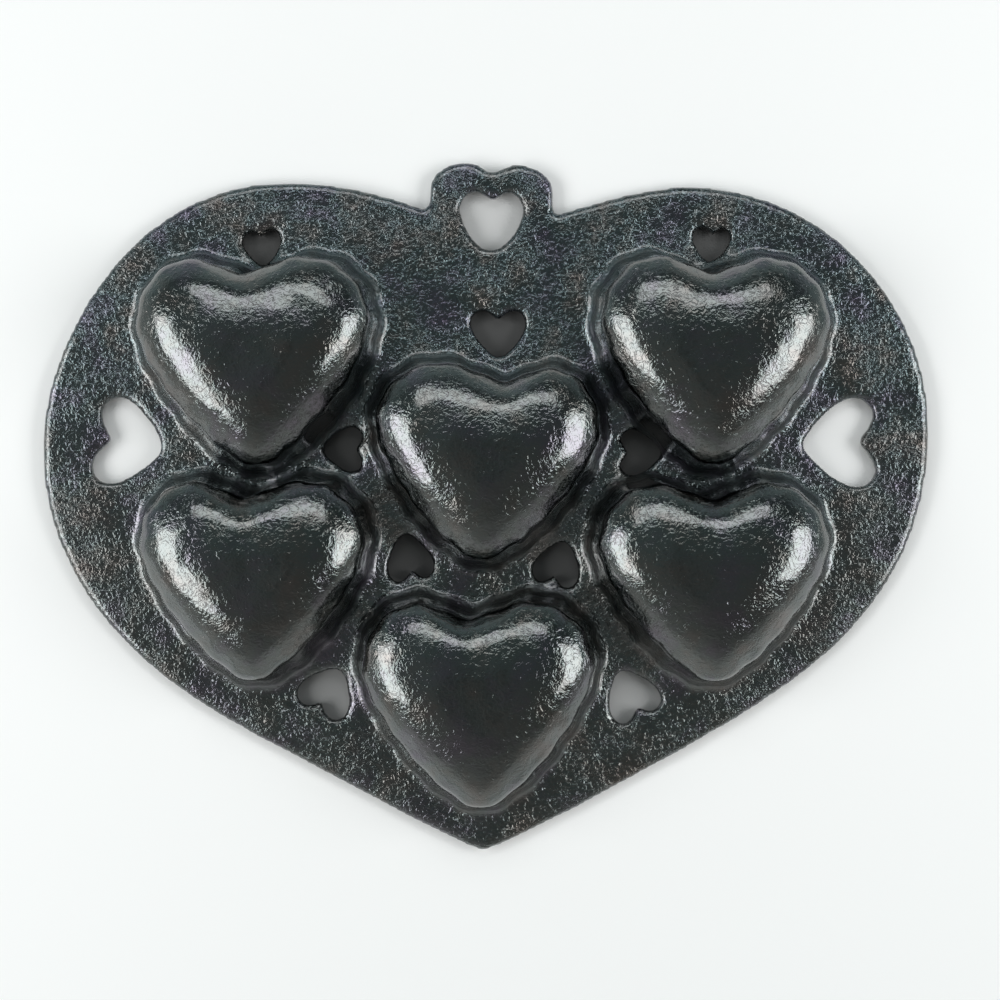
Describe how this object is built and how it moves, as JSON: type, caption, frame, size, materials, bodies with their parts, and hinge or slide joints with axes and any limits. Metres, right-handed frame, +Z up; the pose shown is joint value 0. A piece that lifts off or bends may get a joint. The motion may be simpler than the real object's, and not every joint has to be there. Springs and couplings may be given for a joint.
{
  "type": "baking mould",
  "caption": "Heart-shaped cast-iron baking mould with heart-shaped cups, heart cut-outs and a hanging eye, lying on its rim.",
  "frame": {"origin": "middle of the whole outline, on the flat rim face that the mould lies on", "axes": "+X along the width, +Y from the tip of the heart to its hanging eye, +Z up out of the plate's back, towards the closed ends of the cups"},
  "size_m": [0.2806, 0.2177, 0.0296],
  "materials": {
    "seasoned_cast_iron": "black seasoned sand-cast iron, glossy over a coarse skin"
  },
  "bodies": {
    "root": {"mould_casting": "seasoned_cast_iron"}
  },
  "joints": []
}
